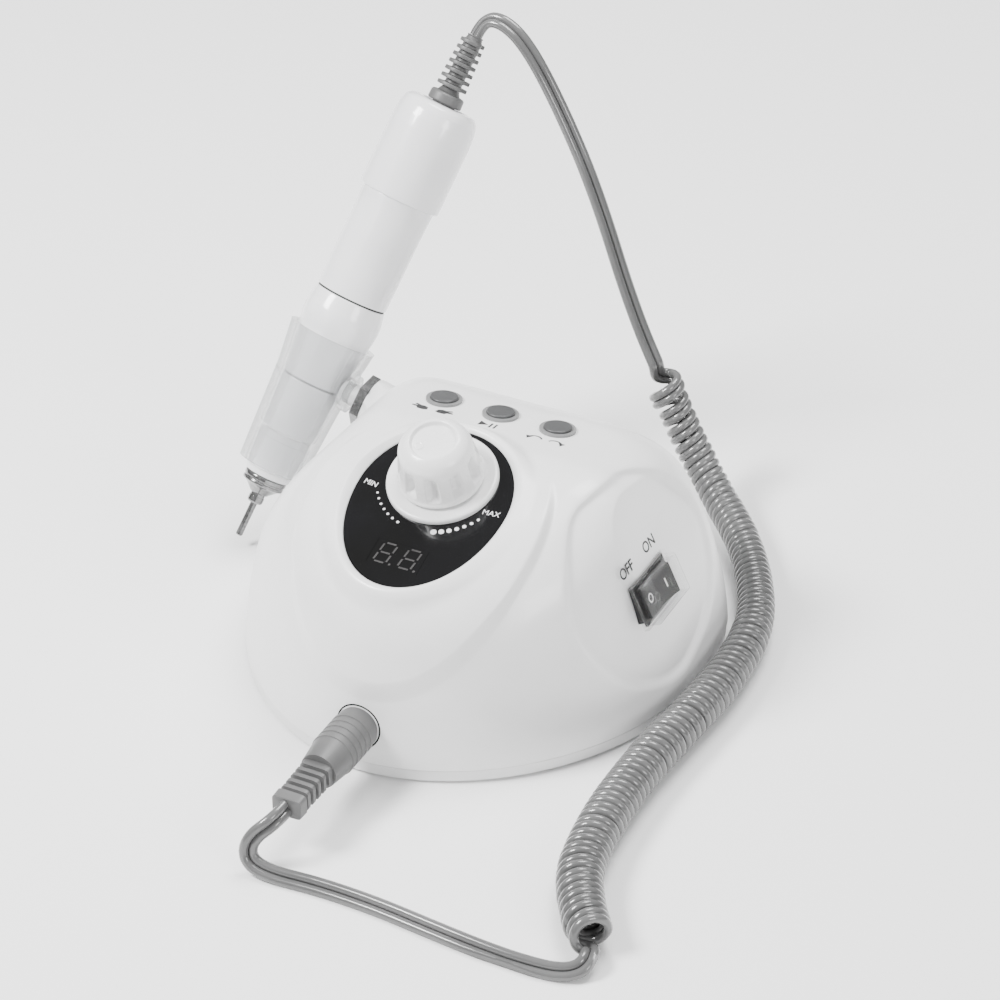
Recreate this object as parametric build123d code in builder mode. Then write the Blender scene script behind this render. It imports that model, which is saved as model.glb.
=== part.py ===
"""Electric nail drill: a dome-shaped control box with a clear tube holder on its left shoulder,
a straight motor handpiece standing in the holder, and the curly lead that joins the two.

Millimetres, +Z up.  The front of the box faces -Y and its power switch +X.  The origin is the
centre of the box's footprint on the table.
"""
from build123d import *

import os
from math import cos, pi, radians, sin, tan

# ---------------------------------------------------------------- driving dimensions
# Footprint of the dome: a rounded front half and a squarer back half that meet at waist_y.
half_width = 76.2
front_reach = 81.0
back_reach = 58.7
waist_y = -2.7
front_power = 1.82
back_power = 4.2
lean_height = 76.8
side_lean, side_lean_power = 0.275, 1.68
front_lean, front_lean_power = 0.296, 2.02
back_lean, back_lean_power = 0.363, 2.35

# Two flats make the top: the front slope with the dial, and the deck with the buttons.
panel_tilt = 18.9
deck_tilt = 8.5
dial_y, dial_z = -24.9, 73.9
button_y, button_z = 15.0, 75.0
ridge_radius = 40.0
shoulder_radius = 12.0

wall = 3.0
tray_z = 1.0
parting_z = 5.0
parting_gap = 0.4

# Egg-shaped panel, measured in the front slope from the dial's centre.
egg_half_width = 25.2
egg_centre = -8.1
egg_up = 27.8
egg_down = 35.2
egg_rim = 3.6
panel_pocket = 1.6
panel_thickness = 1.4
digit_centre = -31.8
digit_pitch = 8.4

dial_radius = 17.8
dial_top = 1.5
flange_radius = 13.8
knob_radius = 13.3
knob_top_radius = 11.0
knob_top = 19.3
knob_scallops = 10

button_pitch = 20.2
bezel_radius = 5.9
cap_radius = 4.6

switch_length, switch_width = 25.0, 15.0
rocker_tilt = 7.0

socket_z = 17.0
plug_radius = 7.0
plug_end_y = -107.0
relief_end_y = -126.5
rear_y = 52.0

# Holder: the post leaves the left shoulder rising by post_rise, and the clear tube turns about
# it.  The handpiece leans back by grip_angle from level in the plane across the post.
post_rise = 15.0
grip_angle = 58.0
tube_offset = 21.5
nut_flats = 15.8
tube_top, tube_bottom = 14.4, -34.7
tube_wall = 2.0

shank_radius = 1.175
lead_radius = 2.0
coil_radius = 7.4

tray_floor = tray_z + 2.4
screw_places = [(58, 24), (-58, 24), (50, -44), (-50, -44)]
foot_places = [(44, 42), (-44, 42), (33, -58), (-33, -58)]
standoff_places = [(27, -5), (-27, -5), (27, 11), (-27, 11)]
button_places = [(-button_pitch, 0), (0, 0), (button_pitch, 0)]
rear_places = [(-22, 0), (22, 0)]
transformer_place = (-16, 22)
board_place = (10, -27)
relief_station = 125.2

# ---------------------------------------------------------------- frames
panel_normal = Vector(0, -sin(radians(panel_tilt)), cos(radians(panel_tilt)))
deck_normal = Vector(0, sin(radians(deck_tilt)), cos(radians(deck_tilt)))
switch_normal = Vector(0.90, 0, 0.436).normalized()
panel_plane = Plane(origin=(0, dial_y, dial_z), x_dir=(1, 0, 0), z_dir=panel_normal)
deck_plane = Plane(origin=(0, button_y, button_z), x_dir=(1, 0, 0), z_dir=deck_normal)
switch_plane = Plane(origin=(65.8, -11, 44), x_dir=(0, 1, 0), z_dir=switch_normal)
side_plane = Plane(origin=(40, -6.7, 44.5), x_dir=(0, 1, 0), z_dir=(1, 0, 0))
front_plane = Plane(origin=(0, 0, socket_z), x_dir=(1, 0, 0), z_dir=(0, -1, 0))
rear_plane = Plane(origin=(0, rear_y, socket_z), x_dir=(-1, 0, 0), z_dir=(0, 1, 0))
knob_section = Plane(origin=(0, dial_y, dial_z), x_dir=(1, 0, 0), z_dir=panel_plane.y_dir * -1)
knob_line = Axis((0, dial_y, dial_z), tuple(panel_normal))
plug_section = Plane(origin=(0, 0, socket_z), x_dir=(1, 0, 0), z_dir=(0, 0, 1))
plug_line = Axis((0, 0, socket_z), (0, 1, 0))

pad_centre = Vector(-61.0, 38.7, 49.1)
post_axis = Vector(-cos(radians(post_rise)), 0, sin(radians(post_rise)))
post_up = Vector(sin(radians(post_rise)), 0, cos(radians(post_rise)))
post_plane = Plane(origin=pad_centre, x_dir=(0, 1, 0), z_dir=post_axis)
grip_axis = Vector(0, cos(radians(grip_angle)), 0) + post_up * sin(radians(grip_angle))
grip_origin = pad_centre + post_axis * tube_offset
grip_line = Axis(tuple(grip_origin), tuple(grip_axis))
grip_section = Plane(
    origin=grip_origin, x_dir=post_axis * -1, z_dir=(post_axis * -1).cross(grip_axis)
)


def grip_plane(station):
    """The plane across the handpiece at a station along it."""
    origin = grip_origin + grip_axis * station
    return Plane(origin=origin, x_dir=post_axis * -1, z_dir=grip_axis)


os.makedirs("parts", exist_ok=True)


def turned(section, axis, points):
    """Turn a closed (radius, station) profile about the axis along the section's Y."""
    with BuildPart() as piece:
        with BuildSketch(section):
            with BuildLine():
                Polyline(*points, close=True)
            make_face()
        revolve(axis=axis)
    return piece.part


def ring(plane, outer, inner, height):
    """A washer, or a disc if inner is 0, that stands on a plane."""
    with BuildPart() as piece:
        with BuildSketch(plane):
            Circle(outer)
            if inner > 0:
                Circle(inner, mode=Mode.SUBTRACT)
        extrude(amount=height)
    return piece.part


def block(plane, across, up, height):
    """A rectangular block that stands on a plane."""
    with BuildPart() as piece:
        with BuildSketch(plane):
            Rectangle(across, up)
        extrude(amount=height)
    return piece.part


def write(builder, name):
    """Label a finished piece and write it to its own file."""
    builder.part.label = name
    export_step(builder.part, f"parts/{name}.step")


# ---------------------------------------------------------------- the dome
def outline(height, inset):
    """Points round the dome's plan at one height, drawn in by inset."""
    lean = max(height, 0) / lean_height
    side = half_width * (1 - side_lean * lean**side_lean_power) - inset
    front = front_reach * (1 - front_lean * lean**front_lean_power) - inset
    back = back_reach * (1 - back_lean * lean**back_lean_power) - inset
    points = []
    for step in range(32):
        angle = pi / 2 + 2 * pi * step / 32
        depth, power = (back, back_power) if sin(angle) > 0 else (front, front_power)
        bulge = abs(cos(angle) / side) ** power + abs(sin(angle) / depth) ** power
        reach = bulge ** (-1 / power)
        points.append((reach * cos(angle), waist_y + reach * sin(angle)))
    return points


def plan(height, inset, level):
    """The dome's plan at one height, drawn in by inset, as a face at a level."""
    with BuildSketch(Plane.XY.offset(level)) as face:
        with BuildLine():
            Spline(*outline(height, inset), periodic=True)
        make_face()
    return face.sketch


def dome(inset, floor_z):
    """The dome as a solid, drawn in by inset, from floor_z up to its two flats."""
    deck = deck_plane.offset(-inset).origin
    slope = panel_plane.offset(-inset).origin
    fall, climb = tan(radians(deck_tilt)), tan(radians(panel_tilt))
    ridge_y = (deck.Z - slope.Z + fall * deck.Y + climb * slope.Y) / (fall + climb)
    ridge_z = deck.Z - fall * (ridge_y - deck.Y)
    front_z = ridge_z - climb * (ridge_y + 120)
    back_z = ridge_z - fall * (120 - ridge_y)
    with BuildPart() as form:
        for height in (floor_z, 22, 40, 58, 74, 92):
            add(plan(height, inset, height))
        loft()
        with BuildSketch(Plane.YZ):
            with BuildLine():
                FilletPolyline(
                    (-120, front_z), (ridge_y, ridge_z), (120, back_z), radius=ridge_radius - inset
                )
                Polyline((120, back_z), (120, -20), (-120, -20), (-120, front_z))
            make_face()
        extrude(amount=100, both=True, mode=Mode.INTERSECT)
        shoulder = [
            edge
            for edge in form.edges()
            if edge.center().Z > 45 and edge.geom_type != GeomType.LINE
        ]
        fillet(shoulder, radius=shoulder_radius - inset)
    return form.part


def egg(grow, depth):
    """The egg outline of the front panel, grown by a margin, as a face depth below the slope."""
    points = []
    for step in range(24):
        angle = -pi / 2 + 2 * pi * step / 24
        reach = egg_up if sin(angle) > 0 else egg_down
        points.append(
            ((egg_half_width + grow) * cos(angle), egg_centre + (reach + grow) * sin(angle))
        )
    with BuildSketch(panel_plane.offset(-depth)) as face:
        with BuildLine():
            Spline(*points, periodic=True)
        make_face()
    return face.sketch


def side_recess(depth):
    """What the recess round the power switch takes away, down to depth below its floor."""
    with BuildPart() as cut:
        with BuildSketch(side_plane):
            Ellipse(34.5 + depth, 30.5 + depth)
        extrude(amount=50)
        split(bisect_by=switch_plane.offset(-depth), keep=Keep.TOP)
    return cut.part


def screw_bosses(top_z):
    """Four posts that hang from the shell and take the case screws."""
    with BuildPart() as posts:
        with BuildSketch(Plane.XY.offset(parting_z)):
            with Locations(*screw_places):
                Circle(4.2)
        extrude(amount=top_z - parting_z)
        add(dome(1.2, parting_z), mode=Mode.INTERSECT)
    return posts.part


# ---------------------------------------------------------------- upper shell
with BuildPart() as upper_shell:
    add(dome(0, parting_z))
    add(egg(egg_rim + 4, 8))
    add(egg(egg_rim, 0))
    loft()
    add(side_recess(0), mode=Mode.SUBTRACT)
    add(dome(wall, parting_z - 1) - side_recess(wall), mode=Mode.SUBTRACT)
    add(screw_bosses(72))
    with BuildSketch(Plane.XY.offset(parting_z)):
        with Locations(*screw_places):
            Circle(1.3)
    extrude(amount=14, mode=Mode.SUBTRACT)

    # Spot-faced pad for the holder's post, with its threaded hole.
    add(ring(post_plane.offset(-9), 11.5, 0, 9))
    add(ring(post_plane, 11.5, 0, 15), mode=Mode.SUBTRACT)
    add(ring(post_plane.offset(-9), 3.75, 0, 10), mode=Mode.SUBTRACT)

    # Egg pocket, with the holes for the dial's bushing and the two digits.
    extrude(egg(0.1, 0), amount=panel_pocket, dir=panel_normal * -1, mode=Mode.SUBTRACT)
    with BuildSketch(panel_plane):
        Circle(3.6)
        with Locations((0, digit_centre)):
            Rectangle(18.4, 10.4)
    extrude(amount=-6, mode=Mode.SUBTRACT)

    # Button holes, and the four posts that carry the control board under the deck.
    with BuildSketch(deck_plane):
        with Locations(*button_places):
            Circle(5.35)
    extrude(amount=-6, mode=Mode.SUBTRACT)
    with BuildSketch(deck_plane.offset(-8)):
        with Locations(*standoff_places):
            Circle(2.5)
    extrude(amount=6)

    # Power switch, front jack, mains gland and pedal jack.
    add(block(switch_plane.offset(-8), 19.2, 12.8, 20), mode=Mode.SUBTRACT)
    add(ring(front_plane.offset(66), 8.5, 0, 20), mode=Mode.SUBTRACT)
    with BuildSketch(rear_plane.offset(-4)):
        with Locations(*rear_places):
            Circle(6.1)
    extrude(amount=12, mode=Mode.SUBTRACT)
write(upper_shell, "upper_shell")

# ---------------------------------------------------------------- base
with BuildPart() as base_tray:
    add(plan(0, 0.5, tray_z))
    extrude(amount=parting_z - parting_gap - tray_z)
    add(plan(0, wall + 0.6, tray_z + 3))
    extrude(amount=4)
    add(plan(0, wall + 2.6, tray_floor))
    extrude(amount=10, mode=Mode.SUBTRACT)
    with BuildSketch(Plane.XY.offset(tray_floor)):
        with Locations(*screw_places):
            Circle(5.4)
    extrude(amount=parting_z - 0.1 - tray_floor)
    with BuildSketch(Plane.XY):
        with Locations(*screw_places):
            Circle(1.7)
        with Locations((0, -60)):
            with GridLocations(7, 1, 5, 1):
                SlotOverall(20, 2.4, rotation=90)
    extrude(amount=10, mode=Mode.SUBTRACT)
    with BuildSketch(Plane.XY):
        with Locations(*screw_places):
            Circle(3.3)
    extrude(amount=tray_z + 2, mode=Mode.SUBTRACT)
    with BuildSketch(Plane.XY):
        with Locations(*foot_places):
            Circle(6.1)
    extrude(amount=tray_z + 0.8, mode=Mode.SUBTRACT)
write(base_tray, "base_tray")

with BuildPart() as rubber_feet:
    with BuildSketch():
        with Locations(*foot_places):
            Circle(6.0)
    extrude(amount=tray_z + 0.8)
    chamfer(rubber_feet.edges().group_by(Axis.Z)[0], length=0.4)
write(rubber_feet, "rubber_feet")

with BuildPart() as case_screws:
    with BuildSketch(Plane.XY.offset(tray_z + 0.2)):
        with Locations(*screw_places):
            Circle(3.0)
    extrude(amount=1.8)
    with BuildSketch(Plane.XY.offset(tray_z + 2)):
        with Locations(*screw_places):
            Circle(1.25)
    extrude(amount=14)
    with BuildSketch(Plane.XY.offset(tray_z + 0.2)):
        with Locations(*screw_places):
            Rectangle(3.2, 0.8)
            Rectangle(0.8, 3.2)
    extrude(amount=1, mode=Mode.SUBTRACT)
write(case_screws, "case_screws")

# ---------------------------------------------------------------- front panel, dial and digits
with BuildPart() as front_panel:
    extrude(egg(0, panel_pocket), amount=panel_thickness, dir=panel_normal)
    with BuildSketch(panel_plane):
        Circle(3.5)
        with Locations((0, digit_centre)):
            Rectangle(17.4, 9.4)
    extrude(amount=-panel_pocket, mode=Mode.SUBTRACT)
write(front_panel, "front_panel")

with BuildPart() as display_digits:
    with BuildSketch(panel_plane.offset(-7.5)):
        with Locations((0, digit_centre)):
            with GridLocations(digit_pitch, 1, 2, 1):
                Rectangle(digit_pitch - 0.2, 9.2)
    extrude(amount=7.1)
write(display_digits, "display_digits")

with BuildPart() as display_board:
    with BuildSketch(panel_plane.offset(-9.1)):
        with Locations((0, digit_centre)):
            Rectangle(26, 18)
    extrude(amount=1.6)
write(display_board, "display_board")

with BuildPart() as dial_plate:
    add(ring(panel_plane.offset(panel_thickness - panel_pocket), dial_radius, 4.2, dial_top + 0.2))
    chamfer(dial_plate.edges().group_by(knob_line)[-1].sort_by(Edge.length)[-1:], length=0.4)
write(dial_plate, "dial_plate")

with BuildPart() as speed_knob:
    add(turned(knob_section, knob_line, [
        (3.0, 2.0),
        (flange_radius, 2.0),
        (flange_radius, 3.4),
        (knob_radius, 4.0),
        (knob_radius - 0.2, 8.5),
        (knob_top_radius + 0.9, knob_top - 2.6),
        (knob_top_radius, knob_top - 0.8),
        (knob_top_radius - 1.2, knob_top),
        (8.4, knob_top),
        (7.9, knob_top - 0.8),
        (0, knob_top - 0.8),
        (0, 14),
        (3.0, 14),
    ]))
    with BuildSketch(panel_plane.offset(4.0)):
        with PolarLocations(knob_radius + 3.6, knob_scallops, start_angle=18):
            Circle(5.0)
    extrude(amount=9, taper=15, mode=Mode.SUBTRACT)
    with BuildSketch(panel_plane.offset(knob_top)):
        with Locations((-4.2, -3.2)):
            Circle(1.1)
    extrude(amount=-1.4, mode=Mode.SUBTRACT)
write(speed_knob, "speed_knob")

with BuildPart() as dial_control:
    add(block(panel_plane.offset(-11.6), 17, 18, 8.0))
    add(ring(panel_plane.offset(-3.6), 3.4, 0, 5.0))
    add(ring(panel_plane.offset(-10), 3.05, 0, 12), mode=Mode.SUBTRACT)
write(dial_control, "dial_control")

with BuildPart() as dial_shaft:
    add(ring(panel_plane.offset(-9.9), 3.0, 0, 23.9))
write(dial_shaft, "dial_shaft")

# ---------------------------------------------------------------- push buttons
with BuildPart() as button_bezels:
    for low, high, outer in ((0, 0.8, bezel_radius), (-3.4, 0, 5.3)):
        with BuildSketch(deck_plane.offset(low)):
            with Locations(*button_places):
                Circle(outer)
                Circle(cap_radius + 0.05, mode=Mode.SUBTRACT)
        extrude(amount=high - low)
write(button_bezels, "button_bezels")

for place, name in zip(button_places, ("button_left", "button_middle", "button_right")):
    seat = Plane(origin=deck_plane.from_local_coords((*place, 0)), x_dir=(1, 0, 0), z_dir=deck_normal)
    with BuildPart() as button_cap:
        add(ring(seat.offset(-4.6), cap_radius, 0, 6.2))
        fillet(button_cap.edges().group_by(Axis(seat.origin, seat.z_dir))[-1], radius=0.5)
        add(ring(seat.offset(-5.2), 5.0, 0, 1.2))
    write(button_cap, name)

with BuildPart() as tact_switches:
    with BuildSketch(deck_plane.offset(-8)):
        with Locations(*button_places):
            Rectangle(6, 6)
    extrude(amount=1.6)
    with BuildSketch(deck_plane.offset(-6.4)):
        with Locations(*button_places):
            Circle(1.7)
    extrude(amount=0.5)
write(tact_switches, "tact_switches")

with BuildPart() as control_board:
    with BuildSketch(deck_plane.offset(-9.6)):
        with Locations((0, 3)):
            Rectangle(62, 22)
    extrude(amount=1.6)
write(control_board, "control_board")

# ---------------------------------------------------------------- power switch
rocker_pivot = switch_plane.offset(-2).origin
rocker_turn = switch_plane.y_dir
rocker_length = (
    switch_plane.x_dir * cos(radians(rocker_tilt)) + switch_normal * sin(radians(rocker_tilt))
)
rocker_section = Plane(origin=rocker_pivot, x_dir=rocker_length, z_dir=rocker_turn * -1)

with BuildPart() as switch_housing:
    add(block(switch_plane, 22, 13.6, 1.0))
    add(block(switch_plane.offset(-15), 19.0, 12.6, 15))
    add(block(switch_plane.offset(-12), 17.6, 11.0, 14), mode=Mode.SUBTRACT)
    with BuildSketch(Plane(origin=rocker_pivot, z_dir=rocker_turn)):
        Circle(1.25)
    extrude(amount=6.0, both=True, mode=Mode.SUBTRACT)
write(switch_housing, "switch_housing")

with BuildPart() as switch_rocker:
    with BuildSketch(rocker_section):
        with BuildLine():
            Polyline((-8.3, 5.4), (0, 3.6), (8.3, 5.4), (7.4, -3), (0, -6), (-7.4, -3), close=True)
        make_face()
    extrude(amount=5.2, both=True)
    with BuildSketch(rocker_section):
        Circle(1.2)
    extrude(amount=5.95, both=True)
write(switch_rocker, "switch_rocker")

with BuildPart() as switch_boot:
    add(block(switch_plane, switch_length, switch_width, 1.8))
    add(block(switch_plane, 21.8, 13.4, 6.6))
    top = switch_boot.faces().sort_by(Axis(switch_plane.origin, switch_normal))[-1]
    fillet(top.edges(), radius=1.5)
    add(block(switch_plane, 22.2, 13.8, 1.1), mode=Mode.SUBTRACT)
    add(block(switch_plane, 20.2, 11.8, 5.6), mode=Mode.SUBTRACT)
write(switch_boot, "switch_boot")

with BuildPart() as switch_terminals:
    with BuildSketch(switch_plane.offset(-15)):
        with GridLocations(7, 6, 2, 2):
            Rectangle(4.0, 0.8)
    extrude(amount=-7)
write(switch_terminals, "switch_terminals")

# ---------------------------------------------------------------- jacks and mains gland
with BuildPart() as handpiece_jack:
    add(ring(front_plane.offset(66), 8.4, 7.2, 16.4))
    add(ring(front_plane.offset(64), 8.4, 0, 2))
    add(ring(front_plane.offset(73), 11, 8, 2))
    with BuildSketch(front_plane.offset(63)):
        with PolarLocations(3.2, 3, start_angle=90):
            Circle(0.95)
    extrude(amount=4, mode=Mode.SUBTRACT)
write(handpiece_jack, "handpiece_jack")

with BuildPart() as mains_gland:
    for start, outer, height in ((-3.2, 7.4, 1.6), (-1.6, 6.0, 5.7), (4.1, 7.6, 1.6)):
        with BuildSketch(rear_plane.offset(start)):
            with Locations(rear_places[0]):
                Circle(outer)
                Circle(2.8, mode=Mode.SUBTRACT)
        extrude(amount=height)
write(mains_gland, "mains_gland")

with BuildPart() as pedal_jack:
    for start, outer, height in ((-14, 7.6, 12.2), (-1.8, 6.0, 7.1)):
        with BuildSketch(rear_plane.offset(start)):
            with Locations(rear_places[1]):
                Circle(outer)
        extrude(amount=height)
    with BuildSketch(rear_plane.offset(-8.8)):
        with Locations(rear_places[1]):
            Circle(3.2)
    extrude(amount=20, mode=Mode.SUBTRACT)
write(pedal_jack, "pedal_jack")

with BuildPart() as pedal_jack_nut:
    with BuildSketch(rear_plane.offset(4.1)):
        with Locations(rear_places[1]):
            RegularPolygon(radius=7.5, side_count=6, major_radius=False)
            Circle(6.05, mode=Mode.SUBTRACT)
    extrude(amount=1.6)
write(pedal_jack_nut, "pedal_jack_nut")

# ---------------------------------------------------------------- power supply inside the box
with BuildPart() as transformer_core:
    with BuildSketch(Plane.XY.offset(tray_floor + 1.2)):
        with Locations(transformer_place):
            Rectangle(44, 20)
    extrude(amount=38)
    with BuildSketch(Plane.XZ.offset(-transformer_place[1])):
        with Locations((transformer_place[0], tray_floor + 20.2)):
            with GridLocations(22, 1, 2, 1):
                Rectangle(9, 24)
    extrude(amount=12, both=True, mode=Mode.SUBTRACT)
write(transformer_core, "transformer_core")

with BuildPart() as transformer_winding:
    with BuildSketch(Plane.XY.offset(tray_floor + 8.4)):
        with Locations(transformer_place):
            Rectangle(30.6, 32)
            Rectangle(13.2, 20.2, mode=Mode.SUBTRACT)
    extrude(amount=23.6)
write(transformer_winding, "transformer_winding")

with BuildPart() as transformer_strap:
    with BuildSketch(Plane.XY.offset(tray_floor)):
        with Locations(transformer_place):
            Rectangle(62, 16)
    extrude(amount=1.2)
write(transformer_strap, "transformer_strap")

with BuildPart() as board_posts:
    with BuildSketch(Plane.XY.offset(tray_floor)):
        with Locations(board_place):
            with GridLocations(48, 30, 2, 2):
                Circle(3)
    extrude(amount=6.6)
write(board_posts, "board_posts")

with BuildPart() as main_board:
    with BuildSketch(Plane.XY.offset(tray_floor + 6.6)):
        with Locations(board_place):
            Rectangle(56, 38)
    extrude(amount=1.6)
write(main_board, "main_board")

with BuildPart() as capacitors:
    with BuildSketch(Plane.XY.offset(tray_floor + 8.2)):
        with Locations(board_place):
            with GridLocations(14, 1, 2, 1):
                Circle(5)
    extrude(amount=18)
write(capacitors, "capacitors")

with BuildPart() as heat_sink:
    with BuildSketch(Plane.XY.offset(tray_floor + 8.2)):
        with Locations((board_place[0], board_place[1] - 14)):
            Rectangle(34, 2)
            with GridLocations(5.6, 1, 7, 1):
                Rectangle(1.2, 7)
    extrude(amount=20)
write(heat_sink, "heat_sink")

# ---------------------------------------------------------------- holder
with BuildPart() as holder_post:
    add(ring(post_plane.offset(-8.5), 3.7, 0, 17.1))
    add(ring(post_plane.offset(8.6), 5.2, 0, 1.3))
write(holder_post, "holder_post")

with BuildPart() as holder_nut:
    with BuildSketch(post_plane):
        RegularPolygon(radius=nut_flats / 2, side_count=6, major_radius=False)
        Circle(3.75, mode=Mode.SUBTRACT)
    extrude(amount=3)
write(holder_nut, "holder_nut")

with BuildPart() as holder_tube:
    add(turned(grip_section, grip_line, [
        (0, tube_top),
        (15.3, tube_top),
        (13.4, 0),
        (11.5, tube_bottom),
        (0, tube_bottom),
    ]))
    add(ring(post_plane.offset(6.3), 6.6, 0, 6))
    add(turned(grip_section, grip_line, [
        (0, tube_top),
        (15.3 - tube_wall, tube_top),
        (13.4 - tube_wall, 0),
        (10.2, -21),
        (9.25, -22),
        (9.25, -24.5),
        (9.8, -24.5),
        (9.6, tube_bottom),
        (0, tube_bottom),
    ]), mode=Mode.SUBTRACT)
    add(ring(post_plane.offset(6), 3.75, 0, 6), mode=Mode.SUBTRACT)
    add(ring(post_plane.offset(8.55), 5.3, 0, 4), mode=Mode.SUBTRACT)
write(holder_tube, "holder_tube")

# ---------------------------------------------------------------- handpiece
handpiece_profiles = {
    "nose_ring": [
        (2.6, -44.7), (3.0, -44.7), (6.5, -41.5), (7.4, -41.3), (7.4, -38.1), (5.0, -38.1),
        (5.0, -40), (2.6, -42),
    ],
    "lock_sleeve": [
        (6.25, -37.9), (7.8, -37.9), (8.25, -36.1), (10.25, -2.6), (6.25, -2.6),
    ],
    "inner_barrel": [(5.05, -38.1), (6.2, -38.1), (6.2, 26), (5.05, 26)],
    "front_grip": [
        (6.2, -2.4), (10.3, -2.4), (12.9, 14.6), (13.55, 18.4), (13.65, 20.6), (13.4, 23),
        (12.4, 28.6), (10.5, 28.6), (10.5, 22), (6.2, 18),
    ],
    "grip_seal": [(10.5, 28.6), (12.0, 28.6), (12.0, 29.2), (10.5, 29.2)],
    "mid_body": [
        (10.5, 29.2), (12.4, 29.2), (12.9, 65.6), (12.0, 65.6), (12.0, 73), (10.5, 73),
    ],
    "rear_cap": [
        (12.05, 65.7), (14.0, 65.7), (14.25, 66.2), (14.25, 96.4), (13.4, 98.8), (11.4, 100.2),
        (9.5, 100.3), (4.1, 100.3), (4.1, 97.5), (12.05, 95),
    ],
    "cord_relief": [(0, 97), (4.0, 97), (4.0, 100.35), (6.0, 100.35), (5.8, 104.2), (4.2, 104.8)]
    + [
        (4.6 - 0.1 * rib + drop, 106.4 + 2.2 * rib + rise)
        for rib in range(8)
        for drop, rise in ((-0.7, 0), (0, 0.4), (0, 1.4), (-0.7, 1.8))
    ]
    + [(2.9, relief_station), (0, relief_station)],
    "collet": [
        (1.2, -48.1), (2.4, -48.1), (2.7, -47.6), (2.7, -45.9), (2.5, -45.9), (2.5, -38), (1.2, -38),
    ],
    "spindle": [(1.2, -38), (3.0, -38), (3.0, 20), (0, 20), (0, -8), (1.2, -8)],
    "drive_coupling": [(0, 20), (4.2, 20), (4.2, 27.5), (0, 27.5)],
    "motor_rotor": [
        (0, 27.5), (1.5, 27.5), (1.5, 38), (7.4, 38), (7.4, 62), (1.5, 62), (1.5, 64), (4, 64),
        (4, 69), (1.5, 69), (1.5, 75.5), (0, 75.5),
    ],
    "motor_magnets": [(8.0, 38), (9.4, 38), (9.4, 62), (8.0, 62)],
    "motor_can": [
        (1.55, 34), (10.4, 34), (10.4, 72), (9.4, 72), (9.4, 36), (1.55, 36),
    ],
    "motor_end_cap": [(1.55, 72), (10.4, 72), (10.4, 77), (0, 77), (0, 76), (1.55, 76)],
    "sanding_mandrel": [
        (0, -60.6), (shank_radius - 0.3, -60.6), (shank_radius, -60.2), (shank_radius, -12), (0, -12),
    ],
}
for name, profile in handpiece_profiles.items():
    with BuildPart() as turned_piece:
        add(turned(grip_section, grip_line, profile))
    write(turned_piece, name)

with BuildPart() as bearings:
    for station in (-36, 14):
        add(ring(grip_plane(station), 5.05, 3.03, 4))
write(bearings, "bearings")

# ---------------------------------------------------------------- plug
with BuildPart() as plug_body:
    add(turned(plug_section, plug_line, [(0, -71), (6.6, -71), (6.6, -82.9), (plug_radius, -82.9)]
        + [
            (plug_radius + bump, -85.6 - 2.8 * band - along)
            for band in range(5)
            for bump, along in ((0, 0), (0.3, 0.2), (0.3, 1.5), (0, 1.7))
        ]
        + [(6.7, -101.5), (6.0, plug_end_y), (0, plug_end_y)]))
write(plug_body, "plug_body")

with BuildPart() as plug_pins:
    with BuildSketch(front_plane.offset(64.2)):
        with PolarLocations(3.2, 3, start_angle=90):
            Circle(0.9)
    extrude(amount=6.8)
write(plug_pins, "plug_pins")

with BuildPart() as plug_relief:
    add(block(front_plane.offset(-plug_end_y), 9.6, 6.6, plug_end_y - relief_end_y))
    fillet(plug_relief.edges().filter_by(Axis.Y), radius=1.2)
    with BuildSketch(Plane.XY.offset(socket_z)):
        with Locations((0, -115)):
            with GridLocations(8.4, 3.7, 2, 4):
                Rectangle(3.4, 1.7)
    extrude(amount=4, both=True, mode=Mode.SUBTRACT)
write(plug_relief, "plug_relief")

# ---------------------------------------------------------------- the lead
coil_route = [
    Vector(19, 102.5, 43),
    Vector(27, 101.5, 28),
    Vector(36, 99, 16),
    Vector(46, 92, 9.2),
    Vector(58.5, 79.5, 7.45),
    Vector(71, 61, 7.45),
    Vector(83.5, 35, 7.45),
    Vector(86, 5, 7.45),
    Vector(84, -20, 7.45),
    Vector(81, -47, 7.45),
    Vector(81, -78, 7.45),
    Vector(84.5, -102, 7.45),
    Vector(91.5, -115.5, 7.45),
    Vector(99, -126, 7.45),
]
upper_route = [
    grip_plane(relief_station).origin,
    grip_plane(relief_station + 6).origin,
    Vector(-46, 108, 163.4),
    Vector(-36.5, 106.8, 157.5),
    Vector(-24.2, 105.5, 139.5),
    Vector(-9.5, 104.5, 111),
    coil_route[0] - (coil_route[1] - coil_route[0]) * 1.7,
    coil_route[0],
]
tail_route = [
    coil_route[-1],
    coil_route[-1] + (coil_route[-1] - coil_route[-2]) * 0.45,
    Vector(103.2, -136.6, 3.9),
    Vector(97.5, -140.6, 2.05),
    Vector(84, -141.9, 2.05),
    Vector(70, -141.4, 2.05),
    Vector(54, -140, 2.05),
    Vector(36, -138.3, 2.05),
    Vector(17, -138.1, 2.05),
    Vector(1, -139.8, 2.05),
    Vector(-6.5, -139.2, 4.2),
    Vector(-6.5, -137.6, 11),
    Vector(0, -133, 17),
    Vector(0, relief_end_y, 17),
]


def corner_radii(route):
    """The largest tangent arc at each corner of a route of straight runs."""
    radii = []
    for before, corner, after in zip(route, route[1:], route[2:]):
        shorter = min((corner - before).length, (after - corner).length)
        turn = (corner - before).get_angle(after - corner)
        radii.append(0.45 * shorter / tan(radians(turn / 2)))
    return radii


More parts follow.
